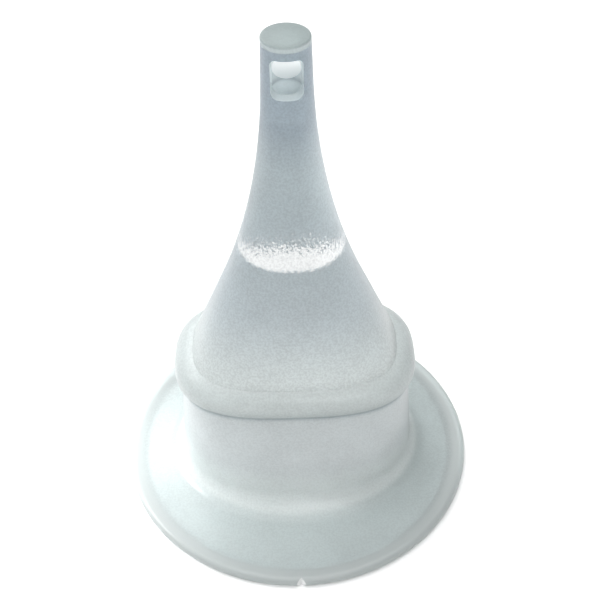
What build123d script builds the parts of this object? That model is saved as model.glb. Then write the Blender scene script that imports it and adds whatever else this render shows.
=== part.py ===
"""Ear tip for an otoscope or ear-washer head, in millimetres, +Z up.

The origin is the centre of the skirt's rim plane, +Z runs up the cone to the nose, the side port
faces -Y and the long axis of the oval neck lies along X. The cone pulls off the skirt along +Z.
"""
import math
import os

from build123d import *

# Overall
TIP_HEIGHT = 49.9
RIM_RADIUS = 18.0
FIT_GAP = 0.05
CUT_MARGIN = 1.0

# Cone: a slight taper at the nose, one concave arc, then a straight flank down to the collar
NOSE_RADIUS = 2.04
NOSE_TAPER = math.radians(1.8)
FLANK_TAPER = math.radians(22.0)
ARC_TOP_Z = 45.5
ARC_BOTTOM_Z = 24.4
CONE_FOOT_Z = 15.7
CONE_WALL = 0.85
OVAL_RATIO = 0.65
OVAL_POWER = 3.0
OVAL_POINTS = 32
ROUND_ABOVE_Z = 43.0
CONE_STATIONS = 15

# Nose plug and side port
PLUG_HEAD = 0.5
PLUG_STEM_RADIUS = 1.2
NOSE_EDGE = 0.16
PORT_WIDTH = 2.7
PORT_BOTTOM_Z = 45.2
PORT_TOP_Z = 48.7
PORT_CORNER = 0.55
DEFLECTOR_DROP = 3.5

# Collar bead: a round bead on an oval path, flat underneath where it sits on the neck
BEAD_HALF_X = 10.0
BEAD_HALF_Y = 5.75
BEAD_POWER = 3.0
BEAD_RADIUS = 2.0
BEAD_Z = 13.9
BEAD_CROWN = math.radians(88)
BEAD_STATIONS = 9

# Skirt: oval neck that flares to a rounder foot, fillet, dished flange and rounded rim lip
NECK_TOP_Z = 12.6
NECK_TOP_X = 11.35
NECK_TOP_Y = 7.15
NECK_TOP_POWER = 3.0
NECK_FOOT_Z = 3.0
NECK_FOOT_X = 12.0
NECK_FOOT_Y = 9.3
NECK_FOOT_POWER = 2.2
NECK_ROOT_Z = 0.5
NECK_FILLET = 2.2
BORE_X = 9.8
BORE_Y = 6.0
BORE_STRAIGHT_Z = 8.4
SKIRT_WALL = 1.05
FLANGE_RIM_Z = 1.0
FLANGE_CENTRE_Z = 2.9
FLANGE_SAG = 0.25
LIP_RADIUS = 0.55
RIM_WEB_WIDTH = 0.88
RIM_WEB_TOP_Z = 0.8
GATE_NICK = 0.6

# Spigot of the cone in the neck's bore, with its seal
SPIGOT_BOTTOM_Z = 8.6
SPIGOT_WALL = 1.15
SEAL_GROOVE_Z = 10.4
SEAL_GROOVE_HEIGHT = 1.0
SEAL_GROOVE_DEPTH = 0.6
NECK_SEAL_DEPTH = 0.57
NECK_SEAL_HEIGHT = 0.9
NECK_SEAL_EDGE = 0.27
NECK_SEAL_GAP = 0.03

# Inlet hub across the neck
LEDGE_TOP_Z = 6.0
LEDGE_HEIGHT = 0.8
LEDGE_WIDTH = 0.5
LEDGE_ROOT = 0.2
WEB_THICKNESS = 1.2
SOCKET_RADIUS = 2.15
SOCKET_STOP_Z = 7.4
PASSAGE_RADIUS = 1.5
BOSS_RADIUS = 3.9
BOSS_BOTTOM_Z = 1.2
BOSS_TOP_Z = 8.2
COUNTERBORE_RADIUS = 3.1
COUNTERBORE_DEPTH = 1.7
RETAINER_BORE = 2.4
RETAINER_THICKNESS = 0.7
O_RING_SECTION = 0.42
O_RING_GAP = 0.02


def oval(half_x, half_y, power, z, grow=0.0):
    """Face bounded by the superellipse |x/a|^n + |y/b|^n = 1 at height z, grown outwards by a distance."""
    outline = []
    for index in range(OVAL_POINTS):
        angle = 2 * math.pi * (index + 0.5) / OVAL_POINTS
        x = math.copysign(abs(math.cos(angle)) ** (2 / power), math.cos(angle))
        y = math.copysign(abs(math.sin(angle)) ** (2 / power), math.sin(angle))
        normal_x = math.copysign(abs(x) ** (power - 1), x) / half_x
        normal_y = math.copysign(abs(y) ** (power - 1), y) / half_y
        reach = grow / math.hypot(normal_x, normal_y)
        outline.append((x * half_x + normal_x * reach, y * half_y + normal_y * reach, z))
    return make_face(Spline(*outline, periodic=True))


def oval_block(half_x, half_y, power, bottom_z, top_z):
    """Straight oval prism between two heights."""
    return extrude(oval(half_x, half_y, power, bottom_z), top_z - bottom_z)


def round_block(radius, bottom_z, top_z):
    """Straight cylinder between two heights."""
    return extrude(Plane.XY.offset(bottom_z) * Circle(radius), top_z - bottom_z)


def ring_block(outer_radius, inner_radius, bottom_z, top_z):
    """Round ring between two heights."""
    face = Plane.XY.offset(bottom_z) * (Circle(outer_radius) - Circle(inner_radius))
    return extrude(face, top_z - bottom_z)


def cone_half_width(z):
    """Half width of the cone along X at height z."""
    nose_slope = math.tan(NOSE_TAPER)
    if z >= ARC_TOP_Z:
        return NOSE_RADIUS + nose_slope * (TIP_HEIGHT - z)
    arc_top_width = NOSE_RADIUS + nose_slope * (TIP_HEIGHT - ARC_TOP_Z)
    arc_radius = (ARC_TOP_Z - ARC_BOTTOM_Z) / (math.sin(FLANK_TAPER) - math.sin(NOSE_TAPER))
    drop = ARC_TOP_Z - max(z, ARC_BOTTOM_Z)
    sine = math.sin(NOSE_TAPER) + drop / arc_radius
    arc_width = arc_top_width + arc_radius * (math.cos(NOSE_TAPER) - math.sqrt(1 - sine * sine))
    return arc_width + math.tan(FLANK_TAPER) * max(ARC_BOTTOM_Z - z, 0)


def cone_oval(z, inset=0.0):
    """Section of the cone at height z: round at the nose, a squarish oval at the foot."""
    blend = min(max((ROUND_ABOVE_Z - z) / (ROUND_ABOVE_Z - CONE_FOOT_Z), 0), 1)
    ease = blend * (2 - blend)
    half_x = cone_half_width(z)
    half_y = half_x * (1 - (1 - OVAL_RATIO) * ease)
    power = 2 + (OVAL_POWER - 2) * blend * blend
    return oval(half_x - inset, half_y - inset, power, z)


def cone_loft(bottom_z, top_z, inset=0.0):
    """Smooth loft through the cone's sections between two heights."""
    step = (top_z - bottom_z) / (CONE_STATIONS - 1)
    return loft([cone_oval(bottom_z + index * step, inset) for index in range(CONE_STATIONS)])


def cone_foot_size():
    """Half width and half depth of the cone where it meets the collar."""
    half_x = cone_half_width(CONE_FOOT_Z)
    return half_x, half_x * OVAL_RATIO


def make_nozzle_cone():
    """Hollow cone with its spigot, seal groove, plug seat and side port."""
    seat_z = TIP_HEIGHT - PLUG_HEAD
    foot_x, foot_y = cone_foot_size()
    spigot_x = BORE_X - FIT_GAP
    spigot_y = BORE_Y - FIT_GAP
    outer = cone_loft(CONE_FOOT_Z, seat_z)
    outer += oval_block(foot_x, foot_y, OVAL_POWER, NECK_TOP_Z, CONE_FOOT_Z)
    outer += oval_block(spigot_x, spigot_y, NECK_TOP_POWER, SPIGOT_BOTTOM_Z, NECK_TOP_Z)
    cavity = cone_loft(CONE_FOOT_Z, PORT_BOTTOM_Z, CONE_WALL)
    hollow_x = spigot_x - SPIGOT_WALL
    hollow_y = spigot_y - SPIGOT_WALL
    cavity += oval_block(hollow_x, hollow_y, NECK_TOP_POWER, SPIGOT_BOTTOM_Z, CONE_FOOT_Z)
    cavity += round_block(PLUG_STEM_RADIUS, PORT_BOTTOM_Z, seat_z)
    return outer - cavity - make_port_cutter() - make_seal_groove(spigot_x, spigot_y)


def make_port_cutter():
    """Round-cornered window through the cone's front wall."""
    height = PORT_TOP_Z - PORT_BOTTOM_Z
    window = Plane.XZ * RectangleRounded(PORT_WIDTH, height, PORT_CORNER)
    return Pos(0, 0, PORT_BOTTOM_Z + height / 2) * extrude(window, NOSE_RADIUS * 2)


def make_seal_groove(spigot_x, spigot_y):
    """Band that is cut out round the spigot."""
    bottom_z = SEAL_GROOVE_Z - SEAL_GROOVE_HEIGHT / 2
    top_z = SEAL_GROOVE_Z + SEAL_GROOVE_HEIGHT / 2
    core_x = spigot_x - SEAL_GROOVE_DEPTH
    core_y = spigot_y - SEAL_GROOVE_DEPTH
    band = oval_block(spigot_x + CUT_MARGIN, spigot_y + CUT_MARGIN, NECK_TOP_POWER, bottom_z, top_z)
    return band - oval_block(core_x, core_y, NECK_TOP_POWER, bottom_z, top_z)


def make_nose_plug():
    """Headed plug with a sloped end that turns the flow out of the side port."""
    seat_z = TIP_HEIGHT - PLUG_HEAD
    head_radius = cone_half_width(seat_z)
    head = round_block(head_radius, seat_z, TIP_HEIGHT)
    head = fillet(head.edges().group_by(Axis.Z)[-1], NOSE_EDGE)
    low_z = PORT_TOP_Z - DEFLECTOR_DROP
    stem = round_block(PLUG_STEM_RADIUS, low_z, seat_z)
    slope = Polyline(
        (-PLUG_STEM_RADIUS, PORT_TOP_Z),
        (PLUG_STEM_RADIUS, low_z),
        (PLUG_STEM_RADIUS, low_z - CUT_MARGIN),
        (-PLUG_STEM_RADIUS - CUT_MARGIN, low_z - CUT_MARGIN),
        (-PLUG_STEM_RADIUS - CUT_MARGIN, PORT_TOP_Z),
        close=True,
    )
    wedge = extrude(Plane.YZ * make_face(slope), PLUG_STEM_RADIUS * 2, both=True)
    return head + (stem - wedge)


def make_collar_bead():
    """Rolled oval bead round the cone's foot, with a flat seat on the neck."""
    seat_angle = math.asin((NECK_TOP_Z - BEAD_Z) / BEAD_RADIUS)
    step = (BEAD_CROWN - seat_angle) / (BEAD_STATIONS - 1)
    sections = []
    for index in range(BEAD_STATIONS):
        angle = seat_angle + index * step
        height = BEAD_Z + BEAD_RADIUS * math.sin(angle)
        grow = BEAD_RADIUS * math.cos(angle)
        sections.append(oval(BEAD_HALF_X, BEAD_HALF_Y, BEAD_POWER, height, grow))
    foot_x, foot_y = cone_foot_size()
    bead = loft(sections)
    bead -= oval_block(foot_x, foot_y, OVAL_POWER, 0, CONE_FOOT_Z)
    return bead - cone_loft(CONE_FOOT_Z, TIP_HEIGHT)


def neck_outside(z):
    """Section of the neck's outer wall, which runs straight from its top to its foot."""
    share = (NECK_TOP_Z - z) / (NECK_TOP_Z - NECK_FOOT_Z)
    half_x = NECK_TOP_X + (NECK_FOOT_X - NECK_TOP_X) * share
    half_y = NECK_TOP_Y + (NECK_FOOT_Y - NECK_TOP_Y) * share
    return half_x, half_y, NECK_TOP_POWER + (NECK_FOOT_POWER - NECK_TOP_POWER) * share


def neck_inside(z, inset=0.0):
    """Section of the neck's bore: straight round the spigot, and below that flared to follow the outside."""
    foot_x = NECK_FOOT_X - SKIRT_WALL
    foot_y = NECK_FOOT_Y - SKIRT_WALL
    share = max((BORE_STRAIGHT_Z - z) / (BORE_STRAIGHT_Z - NECK_FOOT_Z), 0)
    half_x = BORE_X + (foot_x - BORE_X) * share - inset
    half_y = BORE_Y + (foot_y - BORE_Y) * share - inset
    return half_x, half_y, NECK_TOP_POWER + (NECK_FOOT_POWER - NECK_TOP_POWER) * share


def section_loft(section, bottom_z, top_z, *inset):
    """Solid between a section at two heights, with straight sides."""
    return loft([oval(*section(z, *inset), z) for z in (bottom_z, top_z)], ruled=True)


def flared_body(drop, neck, bottom_z):
    """Dished disc with the neck on it, blended by a fillet; drop lowers the dished face to its underside."""
    rim_x = RIM_RADIUS - 2 * LIP_RADIUS
    rim_z = FLANGE_RIM_Z - drop
    centre_z = FLANGE_CENTRE_Z - drop
    middle = (rim_x / 2, 0, (rim_z + centre_z) / 2 - FLANGE_SAG)
    dish = ThreePointArc((rim_x, 0, rim_z), middle, (0, 0, centre_z))
    side = Polyline((0, 0, centre_z), (0, 0, bottom_z), (rim_x, 0, bottom_z), (rim_x, 0, rim_z))
    body = revolve(make_face([dish, side]), Axis.Z) + neck
    crease = [edge for edge in body.edges() if is_neck_crease(edge, rim_z, centre_z)]
    return fillet(crease, NECK_FILLET)


def is_neck_crease(edge, low_z, high_z):
    """True for the closed edge where the neck meets the dished face."""
    size = edge.bounding_box().size
    round_the_neck = BORE_X < size.X < 2 * (NECK_FOOT_X + SKIRT_WALL)
    return round_the_neck and low_z < edge.center().Z < high_z and size.Z < SKIRT_WALL


def make_splash_skirt():
    """Neck, dished flange, rounded rim lip with the gate nick in front, and the ledge that stops the hub."""
    outer_neck = section_loft(neck_outside, NECK_ROOT_Z, NECK_TOP_Z)
    inner_neck = section_loft(neck_inside, 0, BORE_STRAIGHT_Z)
    inner_neck += section_loft(neck_inside, BORE_STRAIGHT_Z, NECK_TOP_Z)
    skirt = flared_body(0, outer_neck, 0) - flared_body(SKIRT_WALL, inner_neck, -CUT_MARGIN)
    lip_x = RIM_RADIUS - LIP_RADIUS
    skirt += revolve(Plane.XZ * Pos(lip_x, LIP_RADIUS) * Circle(LIP_RADIUS), Axis.Z)
    skirt += ring_block(lip_x, lip_x - RIM_WEB_WIDTH, 0, RIM_WEB_TOP_Z)
    skirt -= round_block(RIM_RADIUS + CUT_MARGIN, -2 * CUT_MARGIN, 0)
    ledge = section_loft(neck_inside, LEDGE_TOP_Z - LEDGE_HEIGHT, LEDGE_TOP_Z, -LEDGE_ROOT)
    ledge -= section_loft(neck_inside, LEDGE_TOP_Z - LEDGE_HEIGHT, LEDGE_TOP_Z, LEDGE_WIDTH)
    skirt += ledge
    nick_height = 2 * (2 * LIP_RADIUS + CUT_MARGIN)
    nick = Pos(0, -RIM_RADIUS, 0) * Rot(0, 0, 45) * Box(GATE_NICK, GATE_NICK, nick_height)
    return skirt - nick


def make_inlet_hub():
    """Oval web across the neck with the spout socket in its middle."""
    web = section_loft(neck_inside, LEDGE_TOP_Z, LEDGE_TOP_Z + WEB_THICKNESS)
    hub = web + ring_block(BOSS_RADIUS, PASSAGE_RADIUS, BOSS_BOTTOM_Z, BOSS_TOP_Z)
    hub -= bore_cutter(PASSAGE_RADIUS, BOSS_TOP_Z - BOSS_BOTTOM_Z)
    hub -= bore_cutter(SOCKET_RADIUS, SOCKET_STOP_Z - BOSS_BOTTOM_Z)
    return hub - bore_cutter(COUNTERBORE_RADIUS, COUNTERBORE_DEPTH)


def bore_cutter(radius, depth):
    """Cylinder that rises from the mouth of the spout socket."""
    return round_block(radius, BOSS_BOTTOM_Z, BOSS_BOTTOM_Z + depth)


def make_seal_retainer():
    """Ring pressed into the counterbore's mouth."""
    top_z = BOSS_BOTTOM_Z + RETAINER_THICKNESS
    return ring_block(COUNTERBORE_RADIUS, RETAINER_BORE, BOSS_BOTTOM_Z, top_z)


def make_spout_seal():
    """O-ring between the retainer and the bottom of the counterbore."""
    centre_z = BOSS_BOTTOM_Z + COUNTERBORE_DEPTH - O_RING_SECTION - O_RING_GAP
    ring_radius = COUNTERBORE_RADIUS - O_RING_SECTION - O_RING_GAP
    return Pos(0, 0, centre_z) * Torus(ring_radius, O_RING_SECTION)


def make_neck_seal():
    """Oval seal ring in the spigot's groove, its outer edges rounded."""
    outer_x = BORE_X - NECK_SEAL_GAP
    outer_y = BORE_Y - NECK_SEAL_GAP
    inner_x = outer_x - NECK_SEAL_DEPTH
    inner_y = outer_y - NECK_SEAL_DEPTH
    bottom_z = SEAL_GROOVE_Z - NECK_SEAL_HEIGHT / 2
    top_z = SEAL_GROOVE_Z + NECK_SEAL_HEIGHT / 2
    band = oval_block(outer_x, outer_y, NECK_TOP_POWER, bottom_z, top_z)
    rims = band.edges().filter_by(lambda edge: edge.length > outer_x)
    band = fillet(rims, NECK_SEAL_EDGE)
    return band - oval_block(inner_x, inner_y, NECK_TOP_POWER, bottom_z, top_z)


PIECES = {
    "nozzle_cone": make_nozzle_cone,
    "nose_plug": make_nose_plug,
    "collar_bead": make_collar_bead,
    "splash_skirt": make_splash_skirt,
    "inlet_hub": make_inlet_hub,
    "spout_seal": make_spout_seal,
    "seal_retainer": make_seal_retainer,
    "neck_seal": make_neck_seal,
}


def main():
    os.makedirs("parts", exist_ok=True)
    for name, make in PIECES.items():
        shape = make()
        print(name, len(shape.solids()), round(shape.volume, 2))
        export_step(shape, f"parts/{name}.step")


main()
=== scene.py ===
import math

import bmesh
import bpy
from mathutils import Matrix, Vector


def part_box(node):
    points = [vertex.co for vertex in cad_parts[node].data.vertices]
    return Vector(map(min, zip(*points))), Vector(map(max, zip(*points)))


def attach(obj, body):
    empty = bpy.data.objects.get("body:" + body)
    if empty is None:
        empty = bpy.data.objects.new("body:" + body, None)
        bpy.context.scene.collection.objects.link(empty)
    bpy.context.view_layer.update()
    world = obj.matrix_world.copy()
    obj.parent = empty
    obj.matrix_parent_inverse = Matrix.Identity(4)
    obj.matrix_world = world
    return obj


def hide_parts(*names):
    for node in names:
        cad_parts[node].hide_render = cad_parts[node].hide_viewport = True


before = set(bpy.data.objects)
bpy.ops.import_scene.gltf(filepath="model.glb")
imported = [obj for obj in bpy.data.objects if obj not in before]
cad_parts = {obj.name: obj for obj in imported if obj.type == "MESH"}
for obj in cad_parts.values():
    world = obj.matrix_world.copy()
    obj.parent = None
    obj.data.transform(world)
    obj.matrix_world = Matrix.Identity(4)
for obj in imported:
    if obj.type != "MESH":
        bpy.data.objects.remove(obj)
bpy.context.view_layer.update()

MM = 0.001

# Driving places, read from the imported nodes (metres)
_, skirt_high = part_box("splash_skirt")
cone_low, cone_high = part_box("nozzle_cone")
_, plug_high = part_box("nose_plug")
RIM_R = skirt_high.x
NECK_TOP_Z = skirt_high.z
SPIGOT_Z = cone_low.z
SEAT_Z = cone_high.z
TIP_Z = plug_high.z

# Cone, as in the CAD: slight taper at the nose, concave arc, straight flank
NOSE_R = 2.04 * MM
NOSE_TAPER = math.radians(1.8)
FLANK_TAPER = math.radians(22.0)
ARC_TOP_Z = 45.5 * MM
ARC_BOTTOM_Z = 24.4 * MM
CONE_FOOT_Z = 15.7 * MM
CONE_WALL = 0.85 * MM
ROUND_ABOVE_Z = 43.0 * MM
OVAL_RATIO = 0.65
OVAL_POWER = 3.0

# Nose plug and side port
PLUG_STEM_R = 1.2 * MM
PLUG_EDGE = 0.16 * MM
PORT_WIDTH = 2.7 * MM
PORT_BOTTOM_Z = 45.2 * MM
PORT_TOP_Z = 48.7 * MM
PORT_CORNER = 0.55 * MM
# Above this height the bore's faces take the port's plastic, whose pale tint and faint glow are
# painted light inside the port
GLOW_BORE_Z = 42.5 * MM
DEFLECTOR_DROP = 3.5 * MM

# Collar bead
BEAD_X = 10.0 * MM
BEAD_Y = 5.75 * MM
BEAD_POWER = 3.0
BEAD_R = 2.0 * MM
BEAD_Z = 13.9 * MM
BEAD_CROWN = math.radians(88)

# Skirt: oval neck, fillet, dished flange, rounded lip
NECK_TOP_X = 11.35 * MM
NECK_TOP_Y = 7.15 * MM
NECK_TOP_POWER = 3.0
NECK_FOOT_Z = 3.0 * MM
NECK_FOOT_X = 12.0 * MM
NECK_FOOT_Y = 9.3 * MM
NECK_FOOT_POWER = 2.2
NECK_FILLET = 2.2 * MM
FILLET_REACH = 0.86
FILLET_WEIGHT = 0.74
BORE_X = 9.8 * MM
BORE_Y = 6.0 * MM
BORE_STRAIGHT_Z = 8.4 * MM
SKIRT_WALL = 1.05 * MM
FLANGE_RIM_Z = 1.0 * MM
FLANGE_CENTRE_Z = 2.9 * MM
FLANGE_SAG = 0.25 * MM
LIP_R = 0.55 * MM
LIP_BLEND = 2.2 * MM
RIM_SLOPE = 0.06
GATE_NICK = 0.6 * MM

# Hub's ledge in the bore, and the cone's spigot with its seal groove
LEDGE_TOP_Z = 6.0 * MM
LEDGE_HEIGHT = 0.8 * MM
LEDGE_WIDTH = 0.5 * MM
FIT_GAP = 0.05 * MM
SPIGOT_WALL = 1.15 * MM
SEAL_GROOVE_Z = 10.4 * MM
SEAL_GROOVE_HEIGHT = 1.0 * MM
SEAL_GROOVE_DEPTH = 0.6 * MM

# Hairline between the rebuilt pieces that touch, and the nick's shift off the skirt's mesh lines
SEAM = 0.01 * MM

# Fineness of the meshes
AROUND = 256
OUTLINE_SAMPLES = 4096
CONE_OUTER_RINGS = 150
CONE_INNER_RINGS = 90
PORT_CORNER_STEPS = 8
PLUG_EDGE_STEPS = 8
BEAD_STEPS = 40
BORE_RINGS = 4
NECK_RINGS = 24
FILLET_STEPS = 14
FLANGE_STEPS = 24
LIP_BLEND_STEPS = 8
LIP_STEPS = 18

# Passes that settle the fillet's corner on the flange
CORNER_PASSES = 3

# Turns, in degrees, above which an edge stays sharp
SHARP_TURN = 30
SKIRT_SHARP_TURN = 40
BEAD_SHARP_TURN = 50

# Camera: place in rim radii, turns in degrees
CAMERA_BACK = 4.3138
CAMERA_UP = 5.2361
CAMERA_PITCH = 43.166
CAMERA_PAN = 0.482
CAMERA_ROLL = -1.332
CAMERA_LENS = 66.7
CAMERA_SENSOR = 36

# Floor
FLOOR_HALF_WIDTH = 3.0
FLOOR_WHITE = 0.93

# Surround: the brighter side's direction, where the fade runs, and the strengths
SKY_BRIGHT_SIDE = (-0.7, 0.6, 0.4)
SKY_FADE = (-0.4, 0.9)
SKY_BRIGHT = 0.85
SKY_DIM = 0.06
SKY_SEEN = 0.45

# Moulded grain and clouding; noise values outside the low-to-high stretch are cut off
GRAIN = 0.2 * MM
GRAIN_BUMP = 0.25
GRAIN_DEPTH = 0.03 * MM
CLOUD = 4 * MM
CLOUD_SHADE = 0.03
GLOSS_SWING = 0.1
NOISE_LOW = 0.3
NOISE_HIGH = 0.7
PLASTIC_IOR = 1.45
# Colour of the painted glow: emission standing in for light carried through the clear plastic
GLOW_COLOUR = (0.93, 1.0, 1.0)

# Painted highlight on the cone's front: a bright crescent by height (z) and depth (y squared), with
# ragged edges
BAND_LOW_Z = 29.1 * MM
BAND_TOP_Z = 29.5 * MM
BAND_RISE = 130
BAND_SAG = 55
BAND_GRAIN = 0.16 * MM
BAND_BREAK = 7.0 * MM
BAND_LOW_BREAK_SHARE = 0.15
BAND_LOW_EDGE = (-0.1 * MM, 0.15 * MM)
BAND_TOP_EDGE = (-0.15 * MM, 0.15 * MM)
BAND_END_Y = 0.6 * MM
BAND_END_FADE = 1.4 * MM
PAINTED_HIGHLIGHT_WHITE = (0.83, 0.85, 0.85)
BAND_PITS = (0.35, 0.6)
BAND_PIT_SHADE = 0.88
CONE_FOOT_CLEAR = 0.35

# Skirt's rim: the stretch, inwards from the edge, in which its own paler tint, a painted highlight
# along the lip, takes over
RIM_HIGHLIGHT_START = 1.8 * MM
RIM_HIGHLIGHT_FULL = 0.96 * MM

# Tints
NOSE_TINT = (0.41, 0.48, 0.54)
CONE_ARC_TINT = (0.60, 0.67, 0.695)
CONE_MID_TINT = (0.66, 0.73, 0.76)
CONE_FOOT_TINT = (0.775, 0.835, 0.83)
CAP_TINT = (0.26, 0.31, 0.31)
CAP_SIDE_TINT = (0.5, 0.57, 0.58)
# Painted glow: the port's ledge is near white and emits, standing in for light carried through the
# plug
LEDGE_GLOW_TINT = (0.95, 0.96, 0.96)
# Port plastic: pale and faintly glowing, painted light inside the port, with a darker band at the
# sill's height
PORT_GLOW_TINT = (0.78, 0.84, 0.85)
PORT_SILL_TINT = (0.5, 0.56, 0.58)
BEAD_TINT = (0.72, 0.775, 0.77)
# Painted shade: a dark line where the bead sits on the neck, under the bead's overhang
CONTACT_SHADE_TINT = (0.42, 0.50, 0.52)
NECK_TINT = (0.82, 0.87, 0.88)
# Painted highlight: the fillet is paler, standing in for the light it catches
FILLET_HIGHLIGHT_TINT = (0.89, 0.95, 0.945)
FLANGE_TINT = (0.61, 0.68, 0.68)
# Painted highlight: the rim is paler, standing in for light caught along the lip
RIM_HIGHLIGHT_TINT = (0.71, 0.775, 0.77)
# Painted light: the gate nick is near white, lifting the shade inside the notch
NICK_LIGHTENED_TINT = (0.95, 0.97, 0.97)
HUB_TINT = (0.75, 0.78, 0.78)
SEAL_TINT = (0.5, 0.52, 0.52)

# Heights at which the tints change
NOSE_TINT_Z = 45 * MM
CONE_ARC_TINT_Z = 37 * MM
CONE_MID_TINT_Z = 24 * MM
CAP_SIDE_DROP = 0.12 * MM
CAP_TOP_DROP = 0.01 * MM
SILL_BELOW = 0.4 * MM
SILL_ABOVE = 0.6 * MM
# Reach of the painted shade line up the bead and down the neck
CONTACT_SHADE_ON_BEAD = 0.6 * MM
CONTACT_SHADE_ON_NECK = 0.5 * MM
NECK_TINT_Z = 6.5 * MM
# Heights of the fillet's painted highlight
FILLET_HIGHLIGHT_TOP_Z = 4 * MM
FILLET_HIGHLIGHT_Z = 1.95 * MM
FLANGE_TINT_Z = 1.45 * MM


# ---------------------------------------------------------------- outlines and mesh building

def oval_point(half_x, half_y, power, angle, grow=0.0):
    """Point on a superellipse at a parameter angle, pushed out along its normal by grow."""
    x = math.copysign(abs(math.cos(angle)) ** (2 / power), math.cos(angle))
    y = math.copysign(abs(math.sin(angle)) ** (2 / power), math.sin(angle))
    normal_x = math.copysign(abs(x) ** (power - 1), x) / half_x
    normal_y = math.copysign(abs(y) ** (power - 1), y) / half_y
    reach = grow / math.hypot(normal_x, normal_y)
    return x * half_x + normal_x * reach, y * half_y + normal_y * reach


def even_angles(half_x, half_y, power):
    """Parameter angles that space points evenly along a superellipse."""
    lengths = [0.0]
    last = oval_point(half_x, half_y, power, 0.0)
    for index in range(1, OUTLINE_SAMPLES + 1):
        point = oval_point(half_x, half_y, power, 2 * math.pi * index / OUTLINE_SAMPLES)
        lengths.append(lengths[-1] + math.dist(last, point))
        last = point
    angles = []
    cursor = 0
    for index in range(AROUND):
        target = lengths[-1] * index / AROUND
        while lengths[cursor + 1] < target:
            cursor += 1
        span = lengths[cursor + 1] - lengths[cursor]
        step = cursor + (target - lengths[cursor]) / span
        angles.append(2 * math.pi * step / OUTLINE_SAMPLES)
    return angles


def mesh_from_rings(name, rings, loop=False):
    """Quads between rings of points; loop joins last ring to first, else caps close the ends."""
    mesh = bpy.data.meshes.new(name)
    bm = bmesh.new()
    verts = [[bm.verts.new(point) for point in ring] for ring in rings]
    pairs = list(zip(verts, verts[1:]))
    if loop:
        pairs.append((verts[-1], verts[0]))
    for low, high in pairs:
        for index in range(len(low)):
            after = (index + 1) % len(low)
            bm.faces.new((low[index], low[after], high[after], high[index]))
    if not loop:
        bm.faces.new(list(reversed(verts[0])))
        bm.faces.new(verts[-1])
    bmesh.ops.recalc_face_normals(bm, faces=bm.faces)
    bm.to_mesh(mesh)
    bm.free()
    obj = bpy.data.objects.new(name, mesh)
    bpy.context.scene.collection.objects.link(obj)
    return obj


def cut_away(obj, cutter):
    """Cuts the cutter out of the object, leaves its material on the cut, and removes it."""
    cut = obj.modifiers.new("cut", "BOOLEAN")
    cut.object = cutter
    cut.operation = "DIFFERENCE"
    cut.solver = "EXACT"
    cut.material_mode = "TRANSFER"
    graph = bpy.context.evaluated_depsgraph_get()
    mesh = bpy.data.meshes.new_from_object(obj.evaluated_get(graph))
    obj.modifiers.clear()
    obj.data = mesh
    remove_object(cutter)


def smooth_by_angle(obj, degrees):
    """Smooth shading with sharp edges kept where the faces turn by more than the angle."""
    bm = bmesh.new()
    bm.from_mesh(obj.data)
    limit = math.radians(degrees)
    for face in bm.faces:
        face.smooth = True
    for edge in bm.edges:
        if len(edge.link_faces) == 2 and edge.calc_face_angle(0) > limit:
            edge.smooth = False
    bm.to_mesh(obj.data)
    bm.free()


def remove_object(obj):
    mesh = obj.data
    bpy.data.objects.remove(obj)
    bpy.data.meshes.remove(mesh)


# ---------------------------------------------------------------- cone

def cone_half_width(z):
    """Half width along X of the cone's outside at a height."""
    nose_slope = math.tan(NOSE_TAPER)
    if z >= ARC_TOP_Z:
        return NOSE_R + nose_slope * (TIP_Z - z)
    arc_top = NOSE_R + nose_slope * (TIP_Z - ARC_TOP_Z)
    arc_r = (ARC_TOP_Z - ARC_BOTTOM_Z) / (math.sin(FLANK_TAPER) - math.sin(NOSE_TAPER))
    drop = ARC_TOP_Z - max(z, ARC_BOTTOM_Z)
    sine = math.sin(NOSE_TAPER) + drop / arc_r
    width = arc_top + arc_r * (math.cos(NOSE_TAPER) - math.sqrt(1 - sine * sine))
    return width + math.tan(FLANK_TAPER) * max(ARC_BOTTOM_Z - z, 0)


def cone_ring(z, inset=0.0):
    """Ring of the cone at height z: round at the nose, a squarish oval at the foot."""
    share = min(max((ROUND_ABOVE_Z - z) / (ROUND_ABOVE_Z - CONE_FOOT_Z), 0), 1)
    half_x = cone_half_width(z)
    half_y = half_x * (1 - (1 - OVAL_RATIO) * share * (2 - share))
    power = 2 + (OVAL_POWER - 2) * share * share
    return oval_ring(half_x - inset, half_y - inset, power, z)


def oval_ring(half_x, half_y, power, z, grow=0.0):
    ring = []
    for angle in even_angles(half_x, half_y, power):
        x, y = oval_point(half_x, half_y, power, angle, grow)
        ring.append((x, y, z))
    return ring


def round_ring(radius, z):
    return oval_ring(radius, radius, 2, z)


def heights(start, end, count):
    return [start + (end - start) * index / (count - 1) for index in range(count)]


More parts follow.
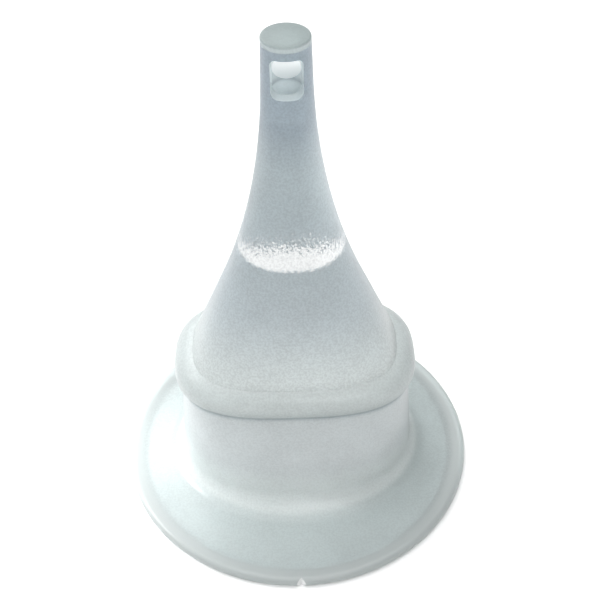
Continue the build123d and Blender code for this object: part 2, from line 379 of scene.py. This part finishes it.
def make_cone():
    """Hollow grained cone with its spigot, and the side port cut through the front wall."""
    foot_x = cone_half_width(CONE_FOOT_Z)
    foot_y = foot_x * OVAL_RATIO
    spigot_x = BORE_X - FIT_GAP
    spigot_y = BORE_Y - FIT_GAP
    groove = (SEAL_GROOVE_Z - SEAL_GROOVE_HEIGHT / 2, SEAL_GROOVE_Z + SEAL_GROOVE_HEIGHT / 2)
    rings = [oval_ring(spigot_x, spigot_y, NECK_TOP_POWER, z) for z in (SPIGOT_Z, groove[0])]
    groove_x = spigot_x - SEAL_GROOVE_DEPTH
    groove_y = spigot_y - SEAL_GROOVE_DEPTH
    rings += [oval_ring(groove_x, groove_y, NECK_TOP_POWER, z) for z in groove]
    rings += [oval_ring(spigot_x, spigot_y, NECK_TOP_POWER, z) for z in (groove[1], NECK_TOP_Z)]
    rings += [oval_ring(foot_x, foot_y, OVAL_POWER, z) for z in (NECK_TOP_Z, CONE_FOOT_Z)]
    rings += [cone_ring(z) for z in heights(CONE_FOOT_Z, SEAT_Z, CONE_OUTER_RINGS)[1:]]
    bore_end_z = PORT_BOTTOM_Z - FIT_GAP
    rings += [round_ring(PLUG_STEM_R, z) for z in (SEAT_Z, bore_end_z)]
    hollow = heights(bore_end_z, CONE_FOOT_Z, CONE_INNER_RINGS)
    rings += [cone_ring(z, CONE_WALL) for z in hollow]
    inner_x = spigot_x - SPIGOT_WALL
    inner_y = spigot_y - SPIGOT_WALL
    rings += [oval_ring(inner_x, inner_y, NECK_TOP_POWER, z) for z in (CONE_FOOT_Z, SPIGOT_Z)]
    cone = mesh_from_rings("cone_shell", rings, loop=True)
    give(cone, cone_plastic)
    # The port's cut faces, and the bore high in the nose, take the port's plastic: pale and faintly
    # glowing, painted light
    cutter = make_port_cutter()
    give(cutter, glowing_port_plastic)
    cut_away(cone, cutter)
    port_slot = list(cone.data.materials).index(glowing_port_plastic)
    for face in cone.data.polygons:
        inside = cone_half_width(face.center.z) - CONE_WALL / 2
        if face.center.z > GLOW_BORE_Z and face.center.xy.length < inside:
            face.material_index = port_slot
    smooth_by_angle(cone, SHARP_TURN)
    return cone


def make_port_cutter():
    """Round-cornered block that reaches from in front of the nose to its axis."""
    half_w = PORT_WIDTH / 2
    half_h = (PORT_TOP_Z - PORT_BOTTOM_Z) / 2
    middle_z = (PORT_TOP_Z + PORT_BOTTOM_Z) / 2
    outline = []
    for corner in range(4):
        sign_x = (1, -1, -1, 1)[corner]
        sign_z = (1, 1, -1, -1)[corner]
        for step in range(PORT_CORNER_STEPS + 1):
            angle = math.pi / 2 * (corner + step / PORT_CORNER_STEPS)
            x = sign_x * (half_w - PORT_CORNER) + PORT_CORNER * math.cos(angle)
            z = sign_z * (half_h - PORT_CORNER) + PORT_CORNER * math.sin(angle)
            outline.append((x, middle_z + z))
    rings = [[(x, y, z) for x, z in outline] for y in (-2 * NOSE_R, 0)]
    return mesh_from_rings("port_cutter", rings)


def make_plug():
    """Nose plug: rounded head, stem, and the sloped end that turns the flow out of the port."""
    head_r = cone_half_width(SEAT_Z)
    rings = []
    for step in range(PLUG_EDGE_STEPS + 1):
        angle = math.pi / 2 * (1 - step / PLUG_EDGE_STEPS)
        radius = head_r - PLUG_EDGE + PLUG_EDGE * math.cos(angle)
        rings.append(round_ring(radius, TIP_Z - PLUG_EDGE + PLUG_EDGE * math.sin(angle)))
    stem_r = PLUG_STEM_R - SEAM
    rings += [round_ring(head_r, SEAT_Z + SEAM), round_ring(stem_r, SEAT_Z + SEAM)]
    slope = DEFLECTOR_DROP / (2 * PLUG_STEM_R)
    end = []
    for x, y, z in round_ring(stem_r, 0):
        end.append((x, y, PORT_TOP_Z - slope * (y + PLUG_STEM_R)))
    rings.append(end)
    plug = mesh_from_rings("nose_cap", rings)
    give(plug, cap_plastic)
    # The sloped end takes the ledge's plastic: near white and glowing, a painted glow
    plug.data.materials.append(glowing_ledge_plastic)
    for face in plug.data.polygons:
        if face.center.z < PORT_TOP_Z:
            face.material_index = 1
    smooth_by_angle(plug, SHARP_TURN)
    return plug


# ---------------------------------------------------------------- collar bead

def make_bead():
    """Rolled oval bead: round section on an oval path, bored for the cone's foot, flat seat."""
    foot_x = cone_half_width(CONE_FOOT_Z) + SEAM
    foot_y = cone_half_width(CONE_FOOT_Z) * OVAL_RATIO + SEAM
    seat_z = NECK_TOP_Z + SEAM
    seat_angle = math.asin((seat_z - BEAD_Z) / BEAD_R)
    rings = [oval_ring(foot_x, foot_y, OVAL_POWER, seat_z)]
    for step in range(BEAD_STEPS + 1):
        angle = seat_angle + (BEAD_CROWN - seat_angle) * step / BEAD_STEPS
        z = BEAD_Z + BEAD_R * math.sin(angle)
        rings.append(oval_ring(BEAD_X, BEAD_Y, BEAD_POWER, z, BEAD_R * math.cos(angle)))
    rings.append(oval_ring(foot_x, foot_y, OVAL_POWER, CONE_FOOT_Z))
    bead = mesh_from_rings("collar_roll", rings, loop=True)
    smooth_by_angle(bead, BEAD_SHARP_TURN)
    return bead


# ---------------------------------------------------------------- skirt

def dish_height(radius, drop):
    """Height of the dished flange at a radius; drop gives the underside."""
    rim = RIM_R - 2 * LIP_R
    share = radius / rim
    straight = FLANGE_CENTRE_Z + (FLANGE_RIM_Z - FLANGE_CENTRE_Z) * share
    return straight - 4 * FLANGE_SAG * share * (1 - share) - drop


def neck_outside(z):
    """Section of the neck's outer wall: half width, half depth and power."""
    share = (NECK_TOP_Z - z) / (NECK_TOP_Z - NECK_FOOT_Z)
    half_x = NECK_TOP_X + (NECK_FOOT_X - NECK_TOP_X) * share
    half_y = NECK_TOP_Y + (NECK_FOOT_Y - NECK_TOP_Y) * share
    return half_x, half_y, NECK_TOP_POWER + (NECK_FOOT_POWER - NECK_TOP_POWER) * share


def neck_inside(z, inset=0.0):
    """Section of the neck's bore: straight round the spigot, flared below it."""
    share = max((BORE_STRAIGHT_Z - z) / (BORE_STRAIGHT_Z - NECK_FOOT_Z), 0)
    half_x = BORE_X + (NECK_FOOT_X - SKIRT_WALL - BORE_X) * share - inset
    half_y = BORE_Y + (NECK_FOOT_Y - SKIRT_WALL - BORE_Y) * share - inset
    return half_x, half_y, NECK_TOP_POWER + (NECK_FOOT_POWER - NECK_TOP_POWER) * share


def flange_run(section, angle, drop):
    """One radial cut's points, from the neck wall round the fillet and out over the flange."""
    base_z = dish_height(NECK_FOOT_X, drop)
    for _ in range(CORNER_PASSES):
        corner = Vector(oval_point(*section(base_z), angle))
        base_z = dish_height(corner.length, drop)
    reach = FILLET_REACH * NECK_FILLET
    foot = Vector(oval_point(*section(base_z), angle, reach))
    outward = foot.normalized()
    start = Vector((*oval_point(*section(base_z + reach), angle), base_z + reach))
    middle = Vector((*corner, base_z))
    end = Vector((*foot, dish_height(foot.length, drop)))
    run = []
    for step in range(FILLET_STEPS + 1):
        t = step / FILLET_STEPS
        shares = ((1 - t) ** 2, 2 * t * (1 - t) * FILLET_WEIGHT, t ** 2)
        run.append((start * shares[0] + middle * shares[1] + end * shares[2]) / sum(shares))
    rim = RIM_R - LIP_BLEND if drop == 0 else RIM_R - 2 * LIP_R
    for step in range(1, FLANGE_STEPS + 1):
        radius = foot.length + (rim - foot.length) * step / FLANGE_STEPS
        run.append(Vector((*(outward * radius), max(dish_height(radius, drop), 0))))
    return run, outward


def skirt_column(angle):
    """Skirt's closed profile at a parameter angle: up the bore, down the neck, out, back under."""
    outer, outward = flange_run(neck_outside, angle, 0)
    inner, _ = flange_run(neck_inside, angle, SKIRT_WALL)
    column = []
    for z in heights(inner[0].z, LEDGE_TOP_Z - LEDGE_HEIGHT, BORE_RINGS)[1:]:
        column.append(Vector((*oval_point(*neck_inside(z), angle), z)))
    for z in (LEDGE_TOP_Z - LEDGE_HEIGHT, LEDGE_TOP_Z):
        column.append(Vector((*oval_point(*neck_inside(z, LEDGE_WIDTH), angle), z)))
    for z in (LEDGE_TOP_Z, BORE_STRAIGHT_Z, NECK_TOP_Z):
        column.append(Vector((*oval_point(*neck_inside(z), angle), z)))
    for z in heights(NECK_TOP_Z, outer[0].z, NECK_RINGS)[:-1]:
        column.append(Vector((*oval_point(*neck_outside(z), angle), z)))
    column += outer
    crown = RIM_R - LIP_R
    inner_edge = outer[-1]
    edge_r = RIM_R - LIP_BLEND
    for step in range(1, LIP_BLEND_STEPS):
        share = step / LIP_BLEND_STEPS
        ease = share * share * (3 - 2 * share)
        radius = edge_r + (crown - edge_r) * share
        z = inner_edge.z - RIM_SLOPE * (radius - edge_r)
        z += (2 * LIP_R - z) * ease
        column.append(Vector((*(outward * radius), z)))
    for step in range(LIP_STEPS + 1):
        turn = math.radians(90 - 180 * step / LIP_STEPS)
        radius = RIM_R - LIP_R + LIP_R * math.cos(turn)
        column.append(Vector((*(outward * radius), LIP_R + LIP_R * math.sin(turn))))
    column += reversed(inner)
    return column


def make_skirt():
    """Soft skirt: flared oval neck, fillet, dished flange and rounded lip with the gate nick."""
    angles = even_angles(NECK_FOOT_X, NECK_FOOT_Y, NECK_FOOT_POWER)
    columns = [skirt_column(angle) for angle in angles]
    rings = [list(ring) for ring in zip(*columns)]
    skirt = mesh_from_rings("skirt_shell", rings, loop=True)
    give(skirt, skirt_plastic)
    corners = ((0, GATE_NICK), (-GATE_NICK, 0), (0, -GATE_NICK), (GATE_NICK, 0))
    reach = math.sqrt(0.5)
    tiers = []
    for z in (-RIM_R, RIM_R):
        tiers.append([(x * reach + SEAM, y * reach - RIM_R, z) for x, y in corners])
    cutter = mesh_from_rings("nick_cutter", tiers)
    # The nick's cut faces take near-white plastic: painted light over the notch's shade
    give(cutter, lightened_nick_plastic)
    cut_away(skirt, cutter)
    smooth_by_angle(skirt, SKIRT_SHARP_TURN)
    return skirt


# ---------------------------------------------------------------- materials

def new_material(name):
    material = bpy.data.materials.new(name)
    material.use_nodes = True
    tree = material.node_tree
    return material, tree, tree.nodes["Principled BSDF"]


def math_node(tree, operation, first, second):
    """Math node whose two values are sockets or plain numbers; gives its output socket."""
    node = tree.nodes.new("ShaderNodeMath")
    node.operation = operation
    for value, socket in zip((first, second), node.inputs):
        if isinstance(value, (int, float)):
            socket.default_value = value
        else:
            tree.links.new(value, socket)
    return node.outputs["Value"]


def map_range(tree, value, start, end, low=0.0, high=1.0):
    """Smooth change from low to high while the value goes from start to end."""
    node = tree.nodes.new("ShaderNodeMapRange")
    node.interpolation_type = "SMOOTHSTEP"
    node.inputs["From Min"].default_value = start
    node.inputs["From Max"].default_value = end
    node.inputs["To Min"].default_value = low
    node.inputs["To Max"].default_value = high
    tree.links.new(value, node.inputs["Value"])
    return node.outputs["Result"]


def noise(tree, coords, size, detail):
    """Noise whose features are about the given size in metres."""
    node = tree.nodes.new("ShaderNodeTexNoise")
    node.inputs["Scale"].default_value = 1 / size
    node.inputs["Detail"].default_value = detail
    tree.links.new(coords, node.inputs["Vector"])
    return node.outputs["Fac"]


def height_colours(tree, z, stops):
    """Colour that changes with height; stops are heights in metres with their colours."""
    ramp = tree.nodes.new("ShaderNodeValToRGB")
    ramp.color_ramp.interpolation = "EASE"
    while len(ramp.color_ramp.elements) < len(stops):
        ramp.color_ramp.elements.new(0.5)
    for element, (height, colour) in zip(ramp.color_ramp.elements, stops):
        element.position = height / TIP_Z
        element.color = (*colour, 1)
    tree.links.new(math_node(tree, "DIVIDE", z, TIP_Z), ramp.inputs["Fac"])
    return ramp.outputs["Color"]


def mix_colours(tree, factor, first, second, blend="MIX"):
    """Mix of two colours, each a socket or a plain colour."""
    node = tree.nodes.new("ShaderNodeMix")
    node.data_type = "RGBA"
    node.blend_type = blend
    for name, value in (("Factor", factor), ("A", first), ("B", second)):
        socket = next(item for item in node.inputs if item.name == name and item.enabled)
        if isinstance(value, (int, float)):
            socket.default_value = value
        elif isinstance(value, tuple):
            socket.default_value = (*value, 1)
        else:
            tree.links.new(value, socket)
    return next(item for item in node.outputs if item.enabled)


def painted_highlight_mask(tree, position, jitter):
    """Mask of the painted highlight on the cone's front: a sharp lower edge and a broken upper
    edge.
    """
    z = position["Z"]
    y = position["Y"]
    broken = math_node(tree, "MULTIPLY", math_node(tree, "SUBTRACT", jitter, 0.5), BAND_BREAK)
    depth = math_node(tree, "MULTIPLY", y, y)

    ragged_z = math_node(tree, "ADD", z, broken)
    rise = math_node(tree, "MULTIPLY", depth, BAND_RISE)
    unrisen_z = math_node(tree, "SUBTRACT", ragged_z, rise)
    above = math_node(tree, "SUBTRACT", unrisen_z, BAND_TOP_Z)
    high = map_range(tree, above, *BAND_TOP_EDGE, 1, 0)

    sagged_z = math_node(tree, "ADD", z, math_node(tree, "MULTIPLY", depth, BAND_SAG))
    low_break = math_node(tree, "MULTIPLY", broken, BAND_LOW_BREAK_SHARE)
    speckled_z = math_node(tree, "ADD", sagged_z, low_break)
    low = map_range(tree, speckled_z, BAND_LOW_Z + BAND_LOW_EDGE[0], BAND_LOW_Z + BAND_LOW_EDGE[1])

    front = map_range(tree, y, BAND_END_Y - BAND_END_FADE, BAND_END_Y, 1, 0)
    return math_node(tree, "MULTIPLY", math_node(tree, "MULTIPLY", low, high), front)


def add_rim_highlight(tree, coords, colour):
    """The colour, changed to the rim's paler tint towards the skirt's edge: a painted highlight
    along the lip.
    """
    flat = tree.nodes.new("ShaderNodeVectorMath")
    flat.operation = "MULTIPLY"
    flat.inputs[1].default_value = (1, 1, 0)
    radius = tree.nodes.new("ShaderNodeVectorMath")
    radius.operation = "LENGTH"
    tree.links.new(coords, flat.inputs[0])
    tree.links.new(flat.outputs["Vector"], radius.inputs[0])
    edge = map_range(tree, radius.outputs["Value"], RIM_R - RIM_HIGHLIGHT_START, RIM_R - RIM_HIGHLIGHT_FULL)
    return mix_colours(tree, edge, colour, RIM_HIGHLIGHT_TINT)


def frosted(name, stops, clear, roughness, grain_shade,
            textured=True, painted_highlight=False, rim_highlighted=False, glow=0.0):
    """Frosted plastic: tint by height, clouding, and moulded grain in colour, bump and gloss."""
    material, tree, shader = new_material(name)
    links = tree.links
    texture = tree.nodes.new("ShaderNodeTexCoord")
    coords = texture.outputs["Object"]
    split = tree.nodes.new("ShaderNodeSeparateXYZ")
    links.new(coords, split.inputs["Vector"])
    position = split.outputs

    grain = noise(tree, coords, GRAIN, 2)
    cloud = noise(tree, coords, CLOUD, 3)
    shade = math_node(
        tree, "ADD",
        map_range(tree, grain, NOISE_LOW, NOISE_HIGH, 1 - grain_shade, 1 + grain_shade),
        map_range(tree, cloud, NOISE_LOW, NOISE_HIGH, -CLOUD_SHADE, CLOUD_SHADE)
    )
    tint = height_colours(tree, position["Z"], stops)
    colour = mix_colours(tree, 1.0, tint, shade, "MULTIPLY")
    if rim_highlighted:
        colour = add_rim_highlight(tree, coords, colour)
    if painted_highlight:
        # Painted highlight: the crescent is whitened and made less clear
        mask = painted_highlight_mask(tree, position, noise(tree, coords, BAND_GRAIN, 1))
        pits = map_range(tree, grain, *BAND_PITS, BAND_PIT_SHADE, 1.0)
        white = mix_colours(tree, 1.0, PAINTED_HIGHLIGHT_WHITE, pits, "MULTIPLY")
        colour = mix_colours(tree, mask, colour, white)
        clearer = map_range(tree, position["Z"], CONE_FOOT_Z, BAND_LOW_Z, CONE_FOOT_CLEAR, clear)
        dulled = math_node(tree, "SUBTRACT", 1, mask)
        transmission = math_node(tree, "MULTIPLY", clearer, dulled)
        links.new(transmission, shader.inputs["Transmission Weight"])
    else:
        shader.inputs["Transmission Weight"].default_value = clear
    links.new(colour, shader.inputs["Base Color"])

    if textured:
        bump = tree.nodes.new("ShaderNodeBump")
        bump.inputs["Strength"].default_value = GRAIN_BUMP
        bump.inputs["Distance"].default_value = GRAIN_DEPTH
        links.new(grain, bump.inputs["Height"])
        links.new(bump.outputs["Normal"], shader.inputs["Normal"])
    smoothest = roughness * (1 - GLOSS_SWING)
    roughest = roughness * (1 + GLOSS_SWING)
    gloss = map_range(tree, cloud, NOISE_LOW, NOISE_HIGH, smoothest, roughest)
    links.new(gloss, shader.inputs["Roughness"])

    # Glow: emission, painted light standing in for light carried through clear plastic
    shader.inputs["Emission Color"].default_value = (*GLOW_COLOUR, 1)
    shader.inputs["Emission Strength"].default_value = glow
    shader.inputs["IOR"].default_value = PLASTIC_IOR
    return material


def even(tint):
    """The same tint at every height."""
    return (0, tint), (TIP_Z, tint)


def give(obj, material):
    obj.data.materials.clear()
    obj.data.materials.append(material)


# ---------------------------------------------------------------- stage, lights, camera

def make_floor():
    mesh = bpy.data.meshes.new("floor")
    bm = bmesh.new()
    bmesh.ops.create_grid(bm, x_segments=1, y_segments=1, size=FLOOR_HALF_WIDTH)
    bm.to_mesh(mesh)
    bm.free()
    floor = bpy.data.objects.new("floor", mesh)
    bpy.context.scene.collection.objects.link(floor)
    material, _, shader = new_material("floor_paper")
    shader.inputs["Base Color"].default_value = (FLOOR_WHITE, FLOOR_WHITE, FLOOR_WHITE, 1)
    shader.inputs["Roughness"].default_value = 0.9
    shader.inputs["Specular IOR Level"].default_value = 0.1
    give(floor, material)


def place_light(data, azimuth, elevation, distance, target):
    """Aims a light at a target in rim radii and tip heights; azimuth 0 is in front, 90 right."""
    target = Vector((target[0] * RIM_R, target[1] * RIM_R, target[2] * TIP_Z))
    a = math.radians(azimuth)
    e = math.radians(elevation)
    away = Vector((math.sin(a) * math.cos(e), -math.cos(a) * math.cos(e), math.sin(e)))
    light = bpy.data.objects.new(data.name, data)
    light.location = target + away * distance
    light.rotation_mode = "QUATERNION"
    light.rotation_quaternion = (-away).to_track_quat("-Z", "Y")
    bpy.context.scene.collection.objects.link(light)


def make_panel(name, azimuth, elevation, distance, size, watts):
    """Square soft panel aimed a little under the middle of the object."""
    data = bpy.data.lights.new(name, "AREA")
    data.shape = "SQUARE"
    data.size = size
    data.energy = watts
    place_light(data, azimuth, elevation, distance, (0, 0, 0.4))


def make_spot(name, azimuth, elevation, distance, watts, target, reach):
    """Soft-edged spot that lights a circle of radius reach round its target."""
    data = bpy.data.lights.new(name, "SPOT")
    data.spot_size = 2 * math.atan(reach / distance)
    data.spot_blend = 1
    data.shadow_soft_size = 0.01
    data.energy = watts
    place_light(data, azimuth, elevation, distance, target)


def make_world():
    """White studio surround, brighter behind on the left; the camera sees it as plain grey."""
    world = bpy.data.worlds.new("studio")
    world.use_nodes = True
    tree = world.node_tree
    background = tree.nodes["Background"]
    background.inputs["Color"].default_value = (1, 1, 1, 1)
    texture = tree.nodes.new("ShaderNodeTexCoord")
    facing = tree.nodes.new("ShaderNodeVectorMath")
    facing.operation = "DOT_PRODUCT"
    facing.inputs[1].default_value = Vector(SKY_BRIGHT_SIDE).normalized()
    tree.links.new(texture.outputs["Generated"], facing.inputs[0])
    strength = map_range(tree, facing.outputs["Value"], *SKY_FADE, SKY_DIM, SKY_BRIGHT)
    is_seen = tree.nodes.new("ShaderNodeLightPath").outputs["Is Camera Ray"]
    seen = math_node(tree, "MULTIPLY", is_seen, SKY_SEEN)
    unseen = math_node(tree, "SUBTRACT", 1, is_seen)
    shown = math_node(tree, "ADD", math_node(tree, "MULTIPLY", strength, unseen), seen)
    tree.links.new(shown, background.inputs["Strength"])
    bpy.context.scene.world = world


def make_camera():
    """Close camera in front, above the nose, looking down at the tip."""
    pitch = math.radians(CAMERA_PITCH)
    pan = math.radians(CAMERA_PAN)
    roll = math.radians(CAMERA_ROLL)
    level = math.cos(pitch)
    forward = Vector((math.sin(pan) * level, math.cos(pan) * level, -math.sin(pitch)))
    right = forward.cross(Vector((0, 0, 1))).normalized()
    above = right.cross(forward)
    turned_right = right * math.cos(roll) + above * math.sin(roll)
    turned_up = above * math.cos(roll) - right * math.sin(roll)
    data = bpy.data.cameras.new("camera")
    data.lens = CAMERA_LENS
    data.sensor_width = CAMERA_SENSOR
    data.clip_start = 0.005
    camera = bpy.data.objects.new("camera", data)
    place = Matrix.Translation((0, -CAMERA_BACK * RIM_R, CAMERA_UP * RIM_R))
    axes = Matrix((turned_right, turned_up, -forward)).transposed().to_4x4()
    camera.matrix_world = place @ axes
    bpy.context.scene.collection.objects.link(camera)
    bpy.context.scene.camera = camera


# ---------------------------------------------------------------- assembly

make_camera()
make_world()
make_floor()
make_panel("back_left_panel", 205, 40, distance=0.4, size=0.2, watts=0.65)
make_panel("right_fill", 75, 8, distance=0.4, size=0.2, watts=0.03)
make_panel("front_fill", 10, 32, distance=0.4, size=0.2, watts=0.5)
make_panel("overhead", 0, 85, distance=0.6, size=0.6, watts=2.8)
make_spot("flange_spot", 258, 42, distance=0.3, watts=8, target=(-0.9, -0.05, 0.03), reach=12 * MM)
make_spot("cone_side_spot", 100, 15, distance=0.3, watts=3.8, target=(0.1, 0, 0.72), reach=11 * MM)

# The cone's plastic carries the painted highlight crescent on its front
cone_plastic = frosted("cone_frosted", (
    (CONE_FOOT_Z, CONE_FOOT_TINT), (CONE_MID_TINT_Z, CONE_MID_TINT),
    (CONE_ARC_TINT_Z, CONE_ARC_TINT), (NOSE_TINT_Z, NOSE_TINT)
), clear=0.6, roughness=0.35, grain_shade=0.10, painted_highlight=True)
cap_plastic = frosted("cap_smooth", (
    (0, CAP_SIDE_TINT), (TIP_Z - CAP_SIDE_DROP, CAP_SIDE_TINT), (TIP_Z - CAP_TOP_DROP, CAP_TINT)
), clear=0.15, roughness=0.42, grain_shade=0.04, textured=False)
# Near white and glowing: painted glow on the port's ledge
glowing_ledge_plastic = frosted("port_ledge_glow", even(LEDGE_GLOW_TINT),
                        clear=0.0, roughness=0.3, grain_shade=0.02, textured=False, glow=0.2)
# Pale and faintly glowing: painted light inside the port, darker in a band at the sill
glowing_port_plastic = frosted("port_edge_glow", (
    (PORT_BOTTOM_Z - SILL_BELOW, PORT_GLOW_TINT), (PORT_BOTTOM_Z, PORT_SILL_TINT),
    (PORT_BOTTOM_Z + SILL_ABOVE, PORT_GLOW_TINT)
), clear=0.2, roughness=0.6, grain_shade=0.03, textured=False, glow=0.07)
bead_plastic = frosted("bead_satin", (
    # Dark at the bead's foot: painted shade where it sits on the neck
    (NECK_TOP_Z, CONTACT_SHADE_TINT), (NECK_TOP_Z + CONTACT_SHADE_ON_BEAD, BEAD_TINT), (TIP_Z, BEAD_TINT)
), clear=0.45, roughness=0.35, grain_shade=0.07)
skirt_plastic = frosted("skirt_frosted", (
    # Pale at the fillet: painted highlight
    (FLANGE_TINT_Z, FLANGE_TINT), (FILLET_HIGHLIGHT_Z, FILLET_HIGHLIGHT_TINT),
    (FILLET_HIGHLIGHT_TOP_Z, FILLET_HIGHLIGHT_TINT), (NECK_TINT_Z, NECK_TINT),
    # Dark at the neck's top: painted shade under the bead
    (NECK_TOP_Z - CONTACT_SHADE_ON_NECK, NECK_TINT), (NECK_TOP_Z, CONTACT_SHADE_TINT)
# Pale at the rim: painted highlight along the lip
), clear=0.5, roughness=0.35, grain_shade=0.06, rim_highlighted=True)
# Near white: painted light over the shade inside the nick
lightened_nick_plastic = frosted("rim_nick_lightened", even(NICK_LIGHTENED_TINT),
                       clear=0.2, roughness=0.3, grain_shade=0.03, textured=False)
hub_plastic = frosted("hub_milky", even(HUB_TINT), clear=0.1, roughness=0.45, grain_shade=0.04)
seal_rubber = frosted("seal_silicone", even(SEAL_TINT),
                      clear=0.0, roughness=0.6, grain_shade=0.06)

built = (
    (make_cone, "nozzle_cone", "cone_group", "grained_plastic", cone_plastic),
    (make_plug, "nose_plug", "cone_group", "smooth_plastic", cap_plastic),
    (make_bead, "collar_bead", "cone_group", "collar_plastic", bead_plastic),
    (make_skirt, "splash_skirt", "skirt_base", "skirt_plastic", skirt_plastic),
)
for make, node, body, slot, material in built:
    piece = make()
    if not piece.data.materials:
        give(piece, material)
    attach(piece, body)
    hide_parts(node)

give(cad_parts["inlet_hub"], hub_plastic)
give(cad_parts["seal_retainer"], hub_plastic)
give(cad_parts["spout_seal"], seal_rubber)
give(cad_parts["neck_seal"], seal_rubber)

bpy.context.scene.view_settings.view_transform = "Standard"
